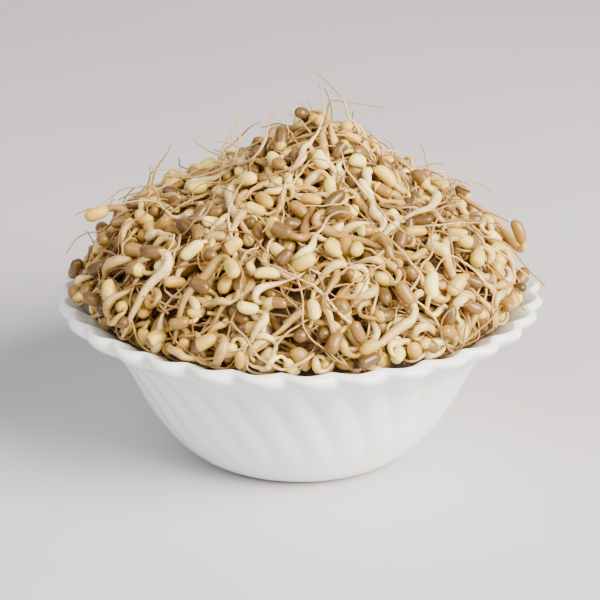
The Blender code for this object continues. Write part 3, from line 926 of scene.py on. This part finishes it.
def sprout_stem():
    """Living shoots: crisp and moist, so softly see-through, white by the bean, tan at the root's tip.

    Flecks 2 mm across colour them unevenly, and a skin 1 mm across breaks their shine.
    """
    material, tree, place = new_material("moist sprout stems and roots")
    along = add(tree, "ShaderNodeAttribute", attribute_name="along").outputs["Fac"]
    tone = add(tree, "ShaderNodeAttribute", attribute_name="tone").outputs["Fac"]
    colour = add(tree, "ShaderNodeValToRGB", along, stops=[
        (0.0, "#DCC258"), (0.08, "#EAD582"), (0.18, "#F3DFA0"), (0.42, "#EED493"), (0.6, "#E0C287"),
        (0.85, "#D0AE78"), (1.0, "#C69E6C")])
    # tone darkens a stem: partly at random, partly as painted shade on sprouts deep in the heap
    tone_and_shade = add(tree, "ShaderNodeValToRGB", tone, stops=[
        (0.0, "#FFFFFF"), (0.5, "#DCCCAA"), (1.0, "#98805A")])
    toned = add(tree, "ShaderNodeMixRGB", 1.0, colour, tone_and_shade, blend_type="MULTIPLY")
    fleck = add(tree, "ShaderNodeTexNoise", place, Scale=grain(2), Detail=3.0)
    fleck = add(tree, "ShaderNodeValToRGB", fleck, stops=[(0.3, "#E6D4B4"), (0.55, "#FFFFFF")])
    both = add(tree, "ShaderNodeMixRGB", 0.8, toned, fleck, blend_type="MULTIPLY")
    skin = add(tree, "ShaderNodeTexNoise", place, Scale=grain(1), Detail=2.0)
    bump = add(tree, "ShaderNodeBump", Strength=0.25, Distance=0.3 * MM, Height=skin)
    return end_material(material, Base_Color=both, Roughness=0.36, Normal=bump, Subsurface_Weight=0.2,
                        Subsurface_Radius=(1.0, 0.85, 0.6), Subsurface_Scale=1.0 * MM)


def bean_and_coat():
    """Soaked beans: waxy cream seed leaves, part covered by a thin glossy tan coat with a torn edge.

    The tear wanders over 2.5 mm, the coat's colour shifts over 4 mm, and its skin is 1 mm fine.
    """
    material, tree, place = new_material("moth beans, waxy halves and glossy tan coats")
    share, seam, edge, end, tone = [add(tree, "ShaderNodeAttribute", attribute_name=name).outputs["Fac"]
                                    for name in ("share", "seam", "edge", "end", "tone")]
    torn = add(tree, "ShaderNodeTexNoise", place, Scale=grain(2.5), Detail=2.0)
    torn = add(tree, "ShaderNodeMapRange", torn, 0.0, 1.0, -0.25, 0.25)
    coated = add(tree, "ShaderNodeMath", share, end, torn, operation="MULTIPLY_ADD")
    past = add(tree, "ShaderNodeMath", coated, edge, operation="SUBTRACT")
    coat = add(tree, "ShaderNodeMapRange", past, -0.03, 0.03)
    # A dark line along both sides of the coat's edge: a painted shadow of the edge
    edge_shadow_line = add(tree, "ShaderNodeMath", past, operation="ABSOLUTE")
    edge_shadow_line = add(tree, "ShaderNodeMapRange", edge_shadow_line, 0.0, 0.1, 0.55, 0.0)
    # tone darkens the cream here and the coat below: partly at random, partly as painted shade on beans
    # deep in the heap
    cream = add(tree, "ShaderNodeValToRGB", tone, stops=[
        (0.0, "#F4E08A"), (0.35, "#E4C65C"), (0.7, "#CCA542"), (1.0, "#A17C32")])
    # The bean's split is coloured darker along its groove: painted shade in the crease
    line = add(tree, "ShaderNodeMath", seam, operation="ABSOLUTE")
    line = add(tree, "ShaderNodeMapRange", line, 0.0, 0.14, 0.3, 0.0)
    cream = add(tree, "ShaderNodeMixRGB", line, cream, rgb("#B0924C"))
    shift = add(tree, "ShaderNodeTexNoise", place, Scale=grain(4), Detail=3.0)
    shift = add(tree, "ShaderNodeMath", shift, 0.35, operation="MULTIPLY")
    mixed = add(tree, "ShaderNodeMath", tone, 0.7, shift, operation="MULTIPLY_ADD")
    tan = add(tree, "ShaderNodeValToRGB", mixed, stops=[
        (0.1, "#A47C30"), (0.4, "#85622A"), (0.65, "#684A20"), (0.95, "#432D13")])
    colour = add(tree, "ShaderNodeMixRGB", coat, cream, tan)
    colour = add(tree, "ShaderNodeMixRGB", edge_shadow_line, colour, rgb("#7F5A2C"))
    rough = add(tree, "ShaderNodeMapRange", coat, 0.0, 1.0, 0.42, 0.34)
    skin = add(tree, "ShaderNodeTexNoise", place, Scale=grain(1), Detail=3.0)
    height = add(tree, "ShaderNodeMath", skin, 0.25, coat, operation="MULTIPLY_ADD")
    bump = add(tree, "ShaderNodeBump", Strength=0.35, Distance=0.3 * MM, Height=height)
    return end_material(material, Base_Color=colour, Roughness=rough, Normal=bump, Subsurface_Weight=0.12,
                        Subsurface_Radius=(1.0, 0.7, 0.35), Subsurface_Scale=1.0 * MM)


def painted_board():
    """The studio's own floor and wall, matt and pale, with clouds 300 mm across."""
    material, tree, place = new_material("pale matt board")
    cloud = add(tree, "ShaderNodeTexNoise", place, Scale=grain(300), Detail=2.0)
    colour = add(tree, "ShaderNodeValToRGB", cloud, stops=[(0.3, "#C3C0C3"), (0.7, "#CAC7CA")])
    return end_material(material, Base_Color=colour, Roughness=0.8)


def make_camera():
    """The camera of the photo: its distance and height, tipped up a little to frame the heap."""
    camera = bpy.data.objects.new("camera", bpy.data.cameras.new("camera"))
    bpy.context.scene.collection.objects.link(camera)
    camera.data.lens = LENS
    camera.data.sensor_width = SENSOR
    camera.data.clip_start = NEAREST_SEEN * MM
    camera.location = (0, -EYE_DISTANCE * math.cos(EYE_ELEVATION) * MM,
                       (BOWL_HEIGHT / 2 + EYE_DISTANCE * math.sin(EYE_ELEVATION)) * MM)
    camera.rotation_euler = (math.pi / 2 - EYE_ELEVATION + EYE_AIM, 0, 0)
    bpy.context.scene.camera = camera


def make_light(name, place, size, power, colour):
    """A square area light at place, aimed at the bowl; place and size in metres, power in watts."""
    data = bpy.data.lights.new(name, "AREA")
    data.size = size
    data.energy = power
    data.color = rgb(colour)[:3]
    light = bpy.data.objects.new(name, data)
    bpy.context.scene.collection.objects.link(light)
    light.location = place
    aim = Vector((0, 0, BOWL_HEIGHT * MM)) - Vector(place)
    light.rotation_euler = aim.to_track_quat("-Z", "Y").to_euler()


def make_studio():
    """A floor that curves up into a wall, a window-like light from the right, and a soft sky."""
    rows = [(-STUDIO_HALF, 0.0)]
    for a in np.linspace(0, math.pi / 2, STUDIO_STEPS):
        rows.append((STUDIO_BACK - STUDIO_BEND * (1 - math.sin(a)), STUDIO_BEND * (1 - math.cos(a))))
    rows.append((STUDIO_BACK, STUDIO_RISE))
    points = [(x * MM, y * MM, z * MM) for y, z in rows for x in (-STUDIO_HALF, STUDIO_HALF)]
    faces = [(2 * i, 2 * i + 1, 2 * i + 3, 2 * i + 2) for i in range(len(rows) - 1)]
    mesh = bpy.data.meshes.new("floor")
    mesh.from_pydata(points, [], faces)
    mesh.shade_smooth()
    mesh.materials.append(painted_board())
    new_piece("floor", mesh)
    world = bpy.data.worlds.new("sky")
    bpy.context.scene.world = world
    world.use_nodes = True
    sky = world.node_tree.nodes["Background"]
    colour, strength = SKY
    sky.inputs["Color"].default_value = rgb(colour)
    sky.inputs["Strength"].default_value = strength
    make_light("window", *WINDOW)
    make_light("room", *ROOM)
    make_camera()


def make_heap(rng, loose, loose_radii, stem_look, bean_look):
    """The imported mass, the sprouts and the bare roots that lie on it."""
    set_on(make_core(shaded_packed_mass()), "sprouts", "sprout_heap")
    layers = LAYERS + [BARE_ROOTS]
    starts = np.concatenate([dome_spots(many, k * LAYER_TURN) for k, (many, _, _) in enumerate(layers)])
    rise = np.concatenate([rng.uniform(low, high, many) for many, low, high in layers])
    bare = np.arange(len(starts)) >= len(starts) - BARE_ROOTS[0]
    line, size, radii, whisker = lay_sprouts(rng, starts, rise, bare)
    beyond_stem = np.arange(POINTS) > BEAN_POINTS + STEM_POINTS
    highest = np.where(whisker[:, None] & beyond_stem, WHISKER_REACH[1], HIGHEST)
    kept_clear = np.tile(loose_radii, len(loose)) + LOOSE_GAP
    line = settle(line, radii, loose.reshape(-1, 3), kept_clear, highest)
    inner = slice(BEAN_POINTS - POINTS_IN_BEAN, None)
    # Within its bean a stem is no thicker than its neck, so that it stays out of sight
    radii[~bare, :BEAN_POINTS] = NECK_RADIUS * NECK_IN_BEAN * size[~bare, None]
    tone = rng.random(len(line))
    # Deeper sprouts get darker tones and the top layer paler ones: painted shade over tones that differ at
    # random
    tone = np.where(rise < DEEP, DEEP_SHADE_TONE + (1 - DEEP_SHADE_TONE) * tone, TOP_TONE * tone)
    number = np.arange(len(line))
    for name, chosen in (("stems_a", ~bare & (number % 2 == 0)), ("stems_b", ~bare & (number % 2 == 1))):
        stems = make_stems(name, line[chosen][:, inner], radii[chosen][:, inner], tone[chosen],
                           np.zeros(chosen.sum()), stem_look)
        set_on(stems, "sprouts", "sprout_heap")
    aged = rng.uniform(*AGED, bare.sum())
    roots = make_stems("bare_roots", line[bare], radii[bare], tone[bare], aged, stem_look)
    set_on(roots, "sprouts", "sprout_heap")
    beans = make_beans("beans", line[~bare][:, :BEAN_POINTS], size[~bare], tone[~bare], rng, bean_look)
    set_on(beans, "sprouts", "sprout_heap")


def make_loose(rng, loose, loose_radii, stem_look, bean_look):
    """The loose sprouts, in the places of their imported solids."""
    names = [f"loose_sprout_{k + 1:02d}" for k in range(len(loose))]
    thin = np.broadcast_to(loose_radii, loose.shape[:2]).copy()
    thin[:, :LOOSE_BEAN] = LOOSE_NECK_RADIUS
    inner = slice(LOOSE_BEAN - POINTS_IN_BEAN, None)
    stems = make_stems("loose_stems", loose[:, inner], thin[:, inner], rng.random(len(loose)),
                       np.zeros(len(loose)), stem_look)
    set_on(stems, "loose_sprouts", *names)
    beans = make_beans("loose_beans", loose[:, :LOOSE_BEAN], np.full(len(loose), LOOSE_SCALE),
                       rng.uniform(*LOOSE_TONES, len(loose)), rng, bean_look)
    set_on(beans, "loose_sprouts", *names)


def main():
    """The bowl, its heap, the loose sprouts and the studio."""
    set_on(make_bowl(opal_glass()), "bowl", "bowl")
    rng = np.random.default_rng(SEED)
    loose = loose_lines()
    _, loose_radii = loose_shape()
    stem_look = sprout_stem()
    bean_look = bean_and_coat()
    make_heap(rng, loose, loose_radii, stem_look, bean_look)
    make_loose(rng, loose, loose_radii, stem_look, bean_look)
    make_studio()
    bpy.context.view_layer.update()


main()
